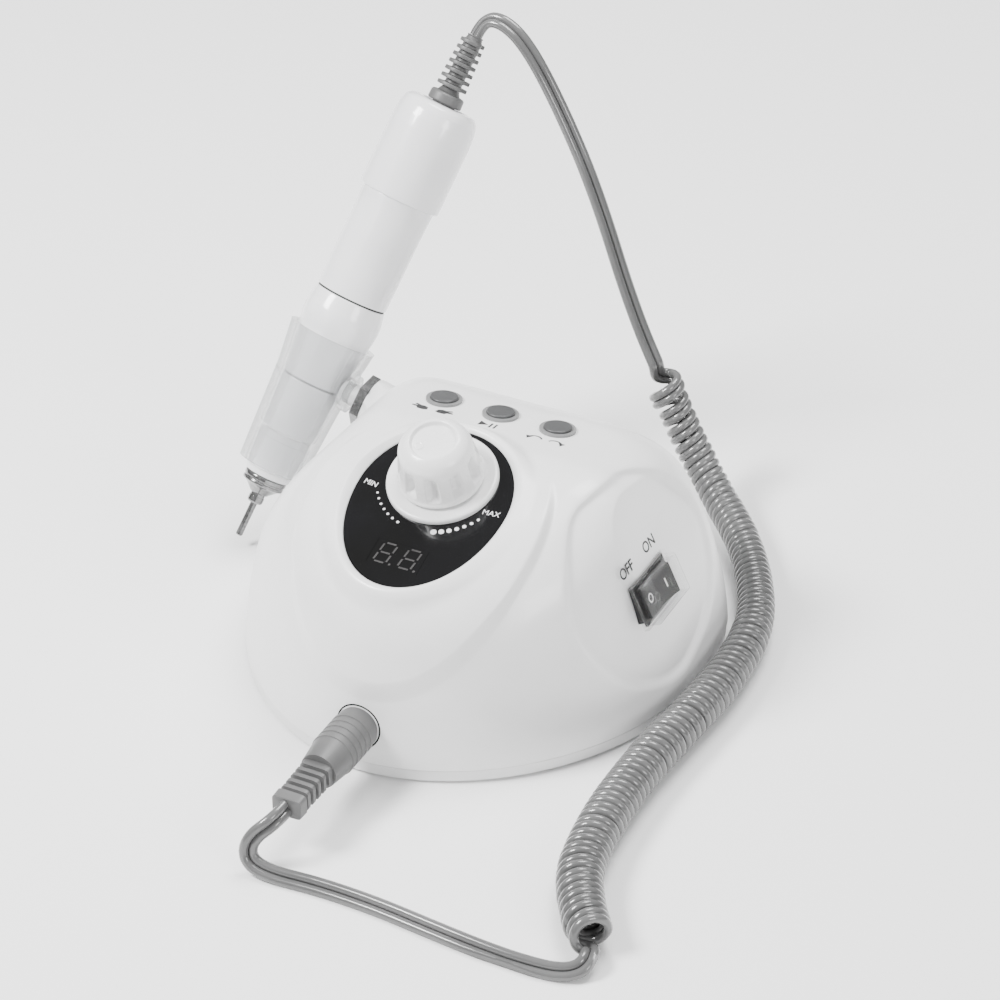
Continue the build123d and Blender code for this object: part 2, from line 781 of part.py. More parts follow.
for name, route, radius in (
    ("lead_upper", upper_route, lead_radius),
    ("lead_coil", coil_route, coil_radius),
    ("lead_tail", tail_route, lead_radius),
):
    radii = corner_radii(route)
    with BuildPart() as stretch:
        with BuildLine() as path:
            FilletPolyline(*route, radius=radii)
        with BuildSketch(Plane(origin=path.line @ 0, z_dir=path.line % 0)):
            Circle(radius)
        sweep()
    length = path.wires()[0].length
    ratio = stretch.part.volume / (pi * radius**2 * length)
    print(name, "arc radii", [round(value, 1) for value in radii])
    print(name, "length", round(length, 1), "volume over section x length", round(ratio, 4))
    write(stretch, name)
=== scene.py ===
from math import cos, pi, radians, sin

import bpy
import numpy as np
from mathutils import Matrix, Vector


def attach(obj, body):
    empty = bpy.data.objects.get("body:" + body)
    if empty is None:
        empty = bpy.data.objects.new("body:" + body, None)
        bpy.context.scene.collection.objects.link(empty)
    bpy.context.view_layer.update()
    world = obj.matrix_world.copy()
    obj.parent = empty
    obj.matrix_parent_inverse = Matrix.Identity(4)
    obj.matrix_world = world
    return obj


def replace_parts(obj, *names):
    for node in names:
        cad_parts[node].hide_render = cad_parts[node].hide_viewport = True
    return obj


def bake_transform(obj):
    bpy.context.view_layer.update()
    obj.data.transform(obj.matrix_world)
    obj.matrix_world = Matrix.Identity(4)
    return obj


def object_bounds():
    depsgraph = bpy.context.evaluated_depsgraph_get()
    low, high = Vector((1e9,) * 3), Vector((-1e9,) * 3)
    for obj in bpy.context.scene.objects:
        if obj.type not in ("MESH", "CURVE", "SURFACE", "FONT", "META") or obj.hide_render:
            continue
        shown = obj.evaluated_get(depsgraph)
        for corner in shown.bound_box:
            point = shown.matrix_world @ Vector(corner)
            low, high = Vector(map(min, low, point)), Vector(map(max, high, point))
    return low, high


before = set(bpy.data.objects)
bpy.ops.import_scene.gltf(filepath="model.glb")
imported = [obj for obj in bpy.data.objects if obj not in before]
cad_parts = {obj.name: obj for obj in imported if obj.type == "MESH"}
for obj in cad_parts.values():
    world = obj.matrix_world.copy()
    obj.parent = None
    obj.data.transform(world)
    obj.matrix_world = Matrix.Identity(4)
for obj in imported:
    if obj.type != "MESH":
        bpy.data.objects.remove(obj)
cad_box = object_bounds()
MM = 0.001

# ---------------------------------------------------------------- places and directions on the object
PANEL_TILT, DECK_TILT = radians(18.9), radians(8.5)
DIAL = np.array([0, -24.9, 73.9])
DECK = np.array([0, 15.0, 75.0])
PANEL_UP = np.array([0, cos(PANEL_TILT), sin(PANEL_TILT)])
PANEL_OUT = np.array([0, -sin(PANEL_TILT), cos(PANEL_TILT)])
DECK_UP = np.array([0, cos(DECK_TILT), -sin(DECK_TILT)])
DECK_OUT = np.array([0, sin(DECK_TILT), cos(DECK_TILT)])
RIGHT = np.array([1.0, 0, 0])
SWITCH = np.array([65.8, -11, 44])
SWITCH_OUT = np.array([0.90, 0, 0.436]) / np.hypot(0.90, 0.436)
SWITCH_UP = np.array([-SWITCH_OUT[2], 0, SWITCH_OUT[0]])
ALONG_Y = np.array([0, 1.0, 0])
PAD = np.array([-61.0, 38.7, 49.1])
POST = np.array([-cos(radians(15)), 0, sin(radians(15))])
GRIP = np.array([sin(radians(15)) * sin(radians(58)), cos(radians(58)), cos(radians(15)) * sin(radians(58))])
GRIP_ORIGIN = PAD + 21.5 * POST
EGG_HALF, EGG_CENTRE, EGG_UP, EGG_DOWN = 25.2, -8.1, 27.8, 35.2
BUTTON_PITCH = 20.2
SOCKET_Z = 17.0


def on_panel(across, up, out=0.0):
    """A point given in the front slope's own directions from the dial's centre, in millimetres."""
    return DIAL + across * RIGHT + up * PANEL_UP + out * PANEL_OUT


def on_deck(across, up, out=0.0):
    """A point given in the button deck's own directions from the middle button."""
    return DECK + across * RIGHT + up * DECK_UP + out * DECK_OUT


def on_switch(along, up, out=0.0):
    """A point given in the switch recess's own directions from its middle."""
    return SWITCH + along * ALONG_Y + up * SWITCH_UP + out * SWITCH_OUT


# ---------------------------------------------------------------- camera
camera = bpy.data.objects.new("camera", bpy.data.cameras.new("camera"))
bpy.context.scene.collection.objects.link(camera)
CAMERA_AT = Vector((399.7, -781.6, 634.7)) * MM
CAMERA_AIM = Vector((7.36, 0, 53.6)) * MM
camera.location = CAMERA_AT
camera.data.sensor_width = 36
camera.data.lens = 118.95
camera.rotation_euler = (CAMERA_AIM - CAMERA_AT).to_track_quat("-Z", "Y").to_euler()
bpy.context.scene.camera = camera


# ---------------------------------------------------------------- materials
def material(name, colour, roughness=0.4, metallic=0.0, **sockets):
    """A principled material, returned with its node tree and its shader."""
    made = bpy.data.materials.new(name)
    made.use_nodes = True
    tree = made.node_tree
    shader = tree.nodes["Principled BSDF"]
    shader.inputs["Base Color"].default_value = (*colour, 1)
    shader.inputs["Roughness"].default_value = roughness
    shader.inputs["Metallic"].default_value = metallic
    for socket, value in sockets.items():
        shader.inputs[socket.replace("_", " ")].default_value = value
    return made, tree, shader


def noise(tree, scale, detail=3.0, rough=0.5, stretch=(1, 1, 1)):
    """A noise texture in object space, which every part shares, so its scale is per metre."""
    coords = tree.nodes.new("ShaderNodeTexCoord")
    mapping = tree.nodes.new("ShaderNodeMapping")
    mapping.inputs["Scale"].default_value = stretch
    texture = tree.nodes.new("ShaderNodeTexNoise")
    texture.inputs["Scale"].default_value = scale
    texture.inputs["Detail"].default_value = detail
    texture.inputs["Roughness"].default_value = rough
    tree.links.new(coords.outputs["Object"], mapping.inputs["Vector"])
    tree.links.new(mapping.outputs["Vector"], texture.inputs["Vector"])
    return texture.outputs["Fac"]


def ranged(tree, value, low, high, start=0.3, end=0.7):
    """A value stretched from its usual span to low..high."""
    node = tree.nodes.new("ShaderNodeMapRange")
    node.inputs["From Min"].default_value = start
    node.inputs["From Max"].default_value = end
    node.inputs["To Min"].default_value = low
    node.inputs["To Max"].default_value = high
    tree.links.new(value, node.inputs["Value"])
    return node.outputs["Result"]


def tinted(tree, value, dark, light):
    """A colour that wanders between two shades as a value does."""
    ramp = tree.nodes.new("ShaderNodeValToRGB")
    ramp.color_ramp.elements[0].position = 0.3
    ramp.color_ramp.elements[1].position = 0.7
    ramp.color_ramp.elements[0].color = (*dark, 1)
    ramp.color_ramp.elements[1].color = (*light, 1)
    tree.links.new(value, ramp.inputs["Fac"])
    return ramp.outputs["Color"]


def bumped(tree, shader, value, distance, strength=0.3):
    """Relief from a value, in metres of height."""
    bump = tree.nodes.new("ShaderNodeBump")
    bump.inputs["Strength"].default_value = strength
    bump.inputs["Distance"].default_value = distance
    tree.links.new(value, bump.inputs["Height"])
    tree.links.new(bump.outputs["Normal"], shader.inputs["Normal"])


def plastic(name, dark, light, gloss, grain=2600, relief=0.00002, **sockets):
    """Moulded plastic: a faint drift of shade and gloss, with fine moulding grain."""
    made, tree, shader = material(name, light, gloss, **sockets)
    drift = noise(tree, 38, 3)
    tree.links.new(tinted(tree, drift, dark, light), shader.inputs["Base Color"])
    smudge = noise(tree, 120, 5, 0.6)
    tree.links.new(ranged(tree, smudge, gloss * 0.85, gloss * 1.2), shader.inputs["Roughness"])
    bumped(tree, shader, noise(tree, grain, 2), relief, 0.25)
    return made


def metal(name, dark, light, roughness, stretch=(1, 1, 1), scale=900):
    """Turned or drawn metal with fine tool lines and a little haze."""
    made, tree, shader = material(name, light, roughness, 1.0)
    lines = noise(tree, scale, 4, 0.6, stretch)
    tree.links.new(tinted(tree, lines, dark, light), shader.inputs["Base Color"])
    haze = noise(tree, 160, 4)
    tree.links.new(ranged(tree, haze, roughness * 0.75, roughness * 1.35), shader.inputs["Roughness"])
    bumped(tree, shader, lines, 0.00001, 0.2)
    return made


def clear(name, tint, roughness, body=0.16, rim=1.0, ior=1.47):
    """Clear moulded plastic with faint flow marks, see-through face on and denser at its edges, where its
    colour darkens to a painted rim shade.
    """
    made, tree, shader = material(name, tint, roughness, Transmission_Weight=1.0, IOR=ior, Alpha=0.4)
    facing = tree.nodes.new("ShaderNodeLayerWeight")
    facing.inputs["Blend"].default_value = 0.35
    tree.links.new(ranged(tree, facing.outputs["Facing"], body, rim, 0.35, 0.85), shader.inputs["Alpha"])
    # Painted shade: the colour darkens to grey at grazing angles, standing in for the dark rims that
    # refraction gives clear plastic.
    edge = ranged(tree, facing.outputs["Facing"], 0.2, 0.9, 0.35, 0.8)
    tree.links.new(tinted(tree, edge, tint, (0.16, 0.165, 0.165)), shader.inputs["Base Color"])
    flow = noise(tree, 90, 2)
    tree.links.new(ranged(tree, flow, roughness * 0.6, roughness * 1.6), shader.inputs["Roughness"])
    bumped(tree, shader, flow, 0.00004, 0.12)
    return made


SHELL = plastic("shell_white", (0.79, 0.79, 0.79), (0.84, 0.84, 0.84), 0.34,
                Coat_Weight=0.3, Coat_Roughness=0.15)
TRAY = plastic("tray_white", (0.74, 0.74, 0.74), (0.80, 0.80, 0.80), 0.42)
KNOB = plastic("knob_white", (0.80, 0.80, 0.80), (0.86, 0.86, 0.86), 0.27,
               Coat_Weight=0.4, Coat_Roughness=0.1)
HANDPIECE = plastic("handpiece_white", (0.79, 0.79, 0.80), (0.86, 0.86, 0.87), 0.22, relief=0.00001,
                    Coat_Weight=0.6, Coat_Roughness=0.06)
SLEEVE = plastic("sleeve_white", (0.76, 0.76, 0.77), (0.83, 0.83, 0.84), 0.30)
BLACK = plastic("panel_black", (0.002, 0.002, 0.002), (0.004, 0.004, 0.005), 0.12, relief=0.000004,
                Specular_IOR_Level=0.25, Coat_Weight=0.12, Coat_Roughness=0.04)
SWITCH_BLACK = plastic("switch_black", (0.004, 0.004, 0.004), (0.008, 0.008, 0.009), 0.32,
                       Specular_IOR_Level=0.25)
RUBBER = plastic("rubber_black", (0.012, 0.012, 0.012), (0.03, 0.03, 0.03), 0.75, 1800, 0.00005)
GREY = plastic("button_grey", (0.045, 0.046, 0.047), (0.065, 0.066, 0.067), 0.38)
BEZEL = plastic("bezel_grey", (0.16, 0.161, 0.162), (0.22, 0.221, 0.222), 0.30)
LEAD = plastic("lead_grey", (0.085, 0.085, 0.085), (0.120, 0.120, 0.120), 0.20, 1500, 0.00002,
               Coat_Weight=0.6, Coat_Roughness=0.08)
PLUG = plastic("plug_grey", (0.085, 0.085, 0.085), (0.120, 0.120, 0.120), 0.42, 2200, 0.00004)
INK = plastic("print_grey", (0.015, 0.015, 0.016), (0.03, 0.03, 0.031), 0.5)
PRINT_WHITE = plastic("print_white", (0.70, 0.70, 0.70), (0.80, 0.80, 0.80), 0.45)
SEGMENT = plastic("digit_segment", (0.020, 0.019, 0.019), (0.032, 0.030, 0.030), 0.4)
STEEL = metal("satin_steel", (0.16, 0.16, 0.16), (0.30, 0.30, 0.30), 0.26)
CHROME = metal("polished_chrome", (0.20, 0.20, 0.20), (0.36, 0.36, 0.36), 0.14)
BRASS = metal("brass", (0.55, 0.40, 0.16), (0.75, 0.57, 0.27), 0.3)
COPPER = metal("copper", (0.50, 0.24, 0.11), (0.68, 0.36, 0.18), 0.35)
IRON = metal("core_iron", (0.10, 0.10, 0.11), (0.18, 0.18, 0.19), 0.55)
BOARD = plastic("board_green", (0.012, 0.09, 0.03), (0.03, 0.16, 0.06), 0.35)
CLEAR = clear("clear_plastic", (0.66, 0.68, 0.69), 0.03, 0.34)
BOOT = clear("clear_boot", (0.97, 0.98, 0.98), 0.02, 0.09, 0.60)

NODE_MATERIALS = {
    SHELL: ("upper_shell", "holder_post"),
    TRAY: ("base_tray",),
    RUBBER: ("rubber_feet", "grip_seal", "drive_coupling"),
    STEEL: ("case_screws", "holder_nut", "inner_barrel", "motor_can", "bearings", "dial_shaft",
            "transformer_strap", "pedal_jack_nut", "spindle", "motor_rotor", "sanding_mandrel"),
    BLACK: ("front_panel", "display_digits"),
    BOARD: ("display_board", "control_board", "main_board"),
    KNOB: ("dial_plate", "speed_knob"),
    BEZEL: ("button_bezels",),
    GREY: ("button_left", "button_middle", "button_right"),
    SWITCH_BLACK: ("dial_control", "tact_switches", "switch_housing", "switch_rocker",
                   "handpiece_jack", "pedal_jack", "capacitors", "motor_end_cap"),
    CLEAR: ("holder_tube",),
    BOOT: ("switch_boot",),
    BRASS: ("switch_terminals", "plug_pins"),
    PLUG: ("mains_gland", "cord_relief", "plug_body", "plug_relief"),
    IRON: ("transformer_core", "motor_magnets"),
    COPPER: ("transformer_winding",),
    CHROME: ("nose_ring", "collet", "heat_sink", "board_posts"),
    SLEEVE: ("lock_sleeve",),
    HANDPIECE: ("front_grip", "mid_body", "rear_cap"),
    LEAD: ("lead_upper", "lead_coil", "lead_tail"),
}
for chosen, nodes in NODE_MATERIALS.items():
    for node in nodes:
        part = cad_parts[node]
        part.data.materials.clear()
        part.data.materials.append(chosen)


# ---------------------------------------------------------------- mesh helpers
def piece(name, vertices, faces, chosen, body, smooth=True):
    """A mesh piece from millimetre vertices, riding on a body."""
    mesh = bpy.data.meshes.new(name)
    mesh.from_pydata((np.asarray(vertices, float) * MM).tolist(), [], faces)
    mesh.validate()
    mesh.materials.append(chosen)
    if smooth:
        mesh.polygons.foreach_set("use_smooth", [True] * len(mesh.polygons))
    made = bpy.data.objects.new(name, mesh)
    bpy.context.scene.collection.objects.link(made)
    if body:
        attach(made, body)
    return made


def smooth_step(value, low, high):
    """A smooth rise from nothing at low to one at high."""
    share = np.clip((value - low) / (high - low), 0, 1)
    return share * share * (3 - 2 * share)


def grid_faces(rows, columns, first=0):
    """Quads between rows of points, where each row runs round a closed loop."""
    faces = []
    for row in range(rows - 1):
        low, high = first + row * columns, first + (row + 1) * columns
        for column in range(columns):
            right = (column + 1) % columns
            faces.append((low + column, low + right, high + right, high + column))
    return faces


def crisp(made, angle=35):
    """Smooth shading that keeps edges sharper than an angle."""
    made.data.set_sharp_from_angle(angle=radians(angle))
    return made


# ---------------------------------------------------------------- the lead
COIL_ROUTE = [
    (19, 102.5, 43), (27, 101.5, 28), (36, 99, 16), (46, 92, 9.2), (58.5, 79.5, 7.45),
    (71, 61, 7.45), (83.5, 35, 7.45), (86, 5, 7.45), (84, -20, 7.45), (81, -47, 7.45),
    (81, -78, 7.45), (84.5, -102, 7.45), (91.5, -115.5, 7.45), (99, -126, 7.45),
]
UPPER_ROUTE = [
    tuple(GRIP_ORIGIN + 125.2 * GRIP), tuple(GRIP_ORIGIN + 131.2 * GRIP), (-46, 108, 163.4),
    (-36.5, 106.8, 157.5), (-24.2, 105.5, 139.5), (-9.5, 104.5, 111), (5.4, 104.2, 68.5),
]
TAIL_ROUTE = [
    (102.4, -130.7, 7.45), (103.2, -136.6, 3.9), (97.5, -140.6, 2.05), (84, -141.9, 2.05),
    (70, -141.4, 2.05), (54, -140, 2.05), (36, -138.3, 2.05), (17, -138.1, 2.05),
    (1, -139.8, 2.05), (-6.5, -139.2, 4.2), (-6.5, -137.6, 11), (0, -133, 17), (0, -126.5, 17),
]
STRAND = 1.5
SIDE = 1.4
STRAND_SIDES = 10


def nurbs_points(route):
    """Points read from the smooth NURBS line that a route controls, in millimetres."""
    curve = bpy.data.curves.new("route", "CURVE")
    curve.dimensions = "3D"
    line = curve.splines.new("NURBS")
    line.points.add(len(route) - 1)
    for point, place in zip(line.points, route):
        point.co = (*(MM * c for c in place), 1)
    line.order_u = 3
    line.use_endpoint_u = True
    line.resolution_u = 24
    mesh = bpy.data.meshes.new_from_object(bpy.data.objects.new("route", curve))
    points = np.array([v.co for v in mesh.vertices]) / MM
    keep = np.r_[True, np.linalg.norm(np.diff(points, axis=0), axis=1) > 1e-5]
    return points[keep]


def unit(vectors):
    """Vectors scaled to a length of one."""
    return vectors / np.linalg.norm(vectors, axis=-1, keepdims=True)


def carried(tangents, start, normal):
    """A normal carried along a line without twisting, both ways from one of its points."""
    normals = np.zeros_like(tangents)
    normals[start] = normal - np.dot(normal, tangents[start]) * tangents[start]
    for order in (range(start + 1, len(tangents)), range(start - 1, -1, -1)):
        previous = start
        for index in order:
            turned = normals[previous] - np.dot(normals[previous], tangents[index]) * tangents[index]
            normals[index] = turned / np.linalg.norm(turned)
            previous = index
    return normals


line = nurbs_points(UPPER_ROUTE + COIL_ROUTE + TAIL_ROUTE)
reach = np.r_[0, np.cumsum(np.linalg.norm(np.diff(line, axis=0), axis=1))]
coil_from = reach[np.argmin(np.linalg.norm(line - np.array(COIL_ROUTE[0]), axis=1))] - 1
coil_to = reach[np.argmin(np.linalg.norm(line - np.array(COIL_ROUTE[-1]), axis=1))] + 1

# Turns per millimetre along the coil: open at the top, close on the table, none outside it.
fine = np.linspace(0, reach[-1], 12001)
along = np.clip((fine - coil_from) / (coil_to - coil_from), 0, 1)
PITCH = 6.1
pitch = PITCH + 1.6 * np.clip(1 - (fine - coil_from) / 22, 0, 1)
pitch = pitch + 0.2 * np.sin(along * 31) + 0.15 * np.sin(along * 83 + 1)
winding_on = smooth_step(fine, coil_from - 6, coil_from + 3)
winding_off = smooth_step(-fine, -coil_to - 7, -coil_to + 3)
rate = winding_on * winding_off / pitch
inside = (fine > coil_from - 8) & (fine < coil_to + 10)
turns = np.r_[0, np.cumsum((rate[1:] + rate[:-1]) / 2 * np.diff(fine))]
whole = round(turns[-1])
turns *= whole / turns[-1]

# Points close together on the turns and further apart on the straight stretches.
step = np.where(inside, PITCH / 30, 0.9)
marks = np.r_[0, np.cumsum((1 / step[1:] + 1 / step[:-1]) / 2 * np.diff(fine))]
spots = np.interp(np.linspace(0, marks[-1], int(marks[-1])), marks, fine)
centre = np.stack([np.interp(spots, reach, line[:, axis]) for axis in range(3)], axis=1)
tangent = unit(np.gradient(centre, spots, axis=0))
table_spot = int(np.searchsorted(spots, coil_from + 200))
normal = carried(tangent, table_spot, np.array([0, 0, 1.0]))
binormal = np.cross(tangent, normal)
phase = 2 * pi * np.interp(spots, fine, turns) + pi
radial = np.cos(phase)[:, None] * normal + np.sin(phase)[:, None] * binormal
widening = smooth_step(spots, coil_from - 8, coil_from + 3)
narrowing = smooth_step(-spots, -coil_to - 11, -coil_to + 2)
share = (spots - coil_from) / (coil_to - coil_from)

# The coil is slimmer near the handpiece, apart from a wider first turn, and no two turns are quite alike.
girth = 4.7 + 1.0 * smooth_step(share, 0.25, 0.70) + 0.9 * np.exp(-(((spots - coil_from - 2) / 5) ** 2))
wander = 0.99 + 0.012 * np.sin(spots * 0.19) + 0.01 * np.sin(spots * 0.53 + 2)
path = centre + radial * (girth * widening * narrowing * wander)[:, None]
path_tangent = unit(np.gradient(path, axis=0))
side = unit(np.cross(radial, path_tangent))
outward = np.cross(path_tangent, side)


def twin(name, low, high, body):
    """The two strands of the lead between two spots of its line, as one mesh tube."""
    vertices, faces = [], []
    angles = np.arange(STRAND_SIDES) * 2 * pi / STRAND_SIDES
    for sign in (-1, 1):
        middle = path[low:high] + sign * SIDE * side[low:high]
        rings = (
            middle[:, None, :]
            + STRAND * np.cos(angles)[None, :, None] * side[low:high, None, :]
            + STRAND * np.sin(angles)[None, :, None] * outward[low:high, None, :]
        )
        first = len(vertices)
        count = high - low
        vertices.extend(rings.reshape(-1, 3).tolist())
        faces.extend(grid_faces(count, STRAND_SIDES, first=first))
        faces.append(tuple(first + k for k in reversed(range(STRAND_SIDES))))
        faces.append(tuple(first + (count - 1) * STRAND_SIDES + k for k in range(STRAND_SIDES)))
    # The outermost strands are pressed flat against the floor and the object's box.
    low_corner, high_corner = (np.array(corner) / MM for corner in cad_box)
    return crisp(piece(name, np.clip(vertices, low_corner, high_corner), faces, LEAD, body), 50)


def run_length(low, high):
    """The lead's own length between two spots of its line, in metres."""
    return float(np.linalg.norm(np.diff(path[low:high], axis=0), axis=1).sum()) * MM


split_a = int(np.searchsorted(spots, 62))
split_b = int(np.searchsorted(spots, coil_from - 1))
stretches = (
    ("lead_from_handpiece", 0, split_a + 1, "object"),
    ("lead_hanging", split_a, split_b + 1, "object"),
    ("lead_coiled", split_b, len(spots), "plug"),
)
lead = {name: twin(name, low, high, None) for name, low, high, far in stretches}
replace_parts(lead["lead_from_handpiece"], "lead_upper")
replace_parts(lead["lead_coiled"], "lead_coil", "lead_tail")
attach(lead["lead_coiled"], "box")
blended = (
    ("lead_from_handpiece", "handpiece", "holder", 0, split_a),
    ("lead_hanging", "holder", "box", split_a, split_b),
)
for name, near, far, low, high in blended:
    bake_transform(lead[name])
print("lead length", round(run_length(0, len(spots)), 3), "turns", whole)


# ---------------------------------------------------------------- the dome
# The dome's plan is widest at its waist, and its two top planes meet in a soft crest.
DOME_HEIGHT, WAIST_Y = 76.8, -2.74
HALF_WIDTH, FRONT_REACH, BACK_REACH = 76.2, 83.7, 56.0
DECK_POINT, SLOPE_POINT = np.array([0, 13.06, 75.3]), np.array([0, -24.2, 74.1])
CREST_BLEND, BROW_BLEND, SHOULDER_BLEND = 3.84, 15.1, 8.0
SHOULDER = np.array([-55.15, 3.47, 56.33])
SHOULDER_OUT = np.array([-0.7638, 0.0315, 0.6447])
PARTING_Z = 5.0
PLAN_MIDDLE = np.array([0, -8.0, PARTING_Z])
SHELL_CORE = np.array([0, -10.0, 26.0])
LIP_DROP = np.array([0, 0, 0.25])
PAD_RADIUS, SPOT_FACE_RADIUS, PAD_LENGTH = 9.2, 10.2, 30
DISH_Y, DISH_Z, DISH_HALF_Y, DISH_HALF_Z, DISH_DEPTH = -6.7, 44.5, 34.5, 30.5, 1.4
APRON_RISE = 2.0
INSIDE_REACH, OUTSIDE_REACH, HALVINGS = 5.0, 150.0, 36
# An egg outline's half width, the level of its widest place, and its reach above and below that.
APRON = (39.4, -14.4, 45.0, 52.8)
PANEL_EGG = (EGG_HALF, EGG_CENTRE, EGG_UP, EGG_DOWN)


def soft_max(a, b, blend):
    """The larger of two distances, rounded over a blend."""
    share = np.maximum(blend - np.abs(a - b), 0) / blend
    return np.maximum(a, b) + share * share * blend * 0.25


def egg_distance(across, up, half, centre, above, below):
    """Roughly how far a point of the slope lies outside an egg outline."""
    depth = np.where(up > centre, above, below)
    reach = np.hypot(across / half, (up - centre) / depth) + 1e-9
    out = np.hypot(across, up - centre)
    return out - out / reach


def body_field(p):
    """Signed distance, nearly, from the plain dome: negative inside."""
    x, y, z = p[..., 0], p[..., 1], p[..., 2]
    lean = np.clip(z, 0, None) / DOME_HEIGHT
    half = HALF_WIDTH * (1 - 0.275 * lean**1.68)
    front = FRONT_REACH * (1 - 0.286 * lean**2.02) + WAIST_Y
    back = BACK_REACH * (1 - 0.381 * lean**2.345) - WAIST_Y
    depth = np.where(y < WAIST_Y, front, back)
    power = np.where(y < WAIST_Y, 1.82, 4.19)
    bulge = (np.abs(x / half) ** power + np.abs((y - WAIST_Y) / depth) ** power) ** (1 / power)
    out = np.hypot(x, y - WAIST_Y)
    wall = out - out / np.maximum(bulge, 1e-6)
    deck = (p - DECK_POINT) @ DECK_OUT
    slope = (p - SLOPE_POINT) @ PANEL_OUT
    return soft_max(wall, soft_max(deck, slope, CREST_BLEND), BROW_BLEND)


def shell_field(p):
    """The dome with its apron, egg ridge, side dish and holder pad."""
    # The left shoulder is cut back, so that the holder's nut stands clear of it.
    base = soft_max(body_field(p), (p - SHOULDER) @ SHOULDER_OUT, SHOULDER_BLEND)
    local = p - DIAL
    across, up, out = local[..., 0], local @ PANEL_UP, local @ PANEL_OUT

    # A soft step, the apron, runs round the egg and fades out towards the deck.
    apron = egg_distance(across, up, *APRON)
    fade = 1 - smooth_step(up, -8, 16)
    field = base - APRON_RISE * fade * (1 - smooth_step(apron, -1.3, 1.3))

    # The seat that carries the egg panel, with a soft ridge round it.
    egg = egg_distance(across, up, *PANEL_EGG)
    ridge = 0.35 + 0.55 * np.exp(-(((egg - 2.4) / 1.5) ** 2))
    seat = soft_max(egg - 4.2, out - ridge, 3.0)
    field = -soft_max(-field, -seat, 4.5)

    # The dish round the power switch: its floor is flat where it is deep.
    dish = np.hypot((p[..., 1] - DISH_Y) / DISH_HALF_Y, (p[..., 2] - DISH_Z) / DISH_HALF_Z)
    rim = (dish - 1) * 31
    floor = np.maximum((p - SWITCH) @ SWITCH_OUT, base + DISH_DEPTH)
    dug = soft_max(rim, -floor, 1.6)
    side_only = np.where(p[..., 0] > 20, dug, 50.0)
    field = soft_max(field, -side_only, 3.0)

    # The holder's pad, spot-faced for its nut.
    reach = p - PAD
    height = reach @ POST
    radius = np.linalg.norm(reach - height[..., None] * POST, axis=-1)
    boss = soft_max(soft_max(radius - PAD_RADIUS, height, 1.0), -PAD_LENGTH - height, 1.0)
    field = -soft_max(-field, -boss, 1.5)
    return soft_max(field, -soft_max(radius - SPOT_FACE_RADIUS, -height, 0.6), 0.8)


def cast(guides, origin, field):
    """Where rays from an inner point through guide points leave a form."""
    ways = unit(guides - origin)
    low = np.full(ways.shape[:-1], INSIDE_REACH)
    high = np.full(ways.shape[:-1], OUTSIDE_REACH)
    for _ in range(HALVINGS):
        middle = (low + high) / 2
        outside = field(origin + ways * middle[..., None]) > 0
        high = np.where(outside, middle, high)
        low = np.where(outside, low, middle)
    return origin + ways * ((low + high) / 2)[..., None]


def egg_ring(grow, out, count):
    """Points round the egg outline, grown by a margin, at a height over the slope."""
    angle = np.arange(count) * 2 * pi / count
    reach = np.where(np.sin(angle) > 0, EGG_UP, EGG_DOWN) + grow
    return (
        DIAL
        + ((EGG_HALF + grow) * np.cos(angle))[:, None] * RIGHT
        + (EGG_CENTRE + reach * np.sin(angle))[:, None] * PANEL_UP
        + out * PANEL_OUT
    )


def base_ring(count):
    """Points round the dome's plan at its parting line."""
    angle = np.arange(count) * 2 * pi / count
    ways = np.stack([np.cos(angle), np.sin(angle), np.zeros(count)], axis=1)
    return cast(PLAN_MIDDLE + ways, PLAN_MIDDLE, body_field)


def build_shell():
    """The upper shell, in rings that run from the egg's pocket out and down to the parting line."""
    count = 720
    rings = 230
    pocket = ((-1.5, -1.62), (0.06, -1.62), (0.1, -0.35), (0.25, 0.02), (0.6, 0.24))
    rows = [egg_ring(grow, out, count) for grow, out in pocket]
    near, far = egg_ring(1.0, 0.4, count), base_ring(count)
    share = np.linspace(0, 1, rings)
    share = 0.75 * share + 0.25 * share**2
    guides = near[None] * (1 - share[:, None, None]) + far[None] * share[:, None, None]
    skin = cast(guides, SHELL_CORE, shell_field)
    rows.extend(skin[:-1])

    # The edge at the parting line is rounded under and closed inwards.
    lip = skin[-1]
    lip[:, 2] = PARTING_Z
    outward = unit(far - PLAN_MIDDLE)
    rows += [lip + 0.6 * LIP_DROP, lip - 0.35 * outward - LIP_DROP, far - 2.6 * outward - LIP_DROP]
    shell = piece("shell_skin", np.concatenate(rows), grid_faces(len(rows), count), SHELL, "box")
    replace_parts(shell, "upper_shell")


build_shell()


# ---------------------------------------------------------------- turned pieces
def rounded(profile, radius=0.35, steps=4):
    """A (radius, station) profile with its corners rounded off."""
    profile = [np.array(point, float) for point in profile]
    result = [profile[0]]
    for before, corner, after in zip(profile, profile[1:], profile[2:]):
        back, on = before - corner, after - corner
        cut = min(radius, 0.45 * np.linalg.norm(back), 0.45 * np.linalg.norm(on))
        start = corner + back / np.linalg.norm(back) * cut
        end = corner + on / np.linalg.norm(on) * cut
        for t in np.linspace(0, 1, steps):
            result.append((1 - t) ** 2 * start + 2 * t * (1 - t) * corner + t**2 * end)
    result.append(profile[-1])
    return np.array(result)


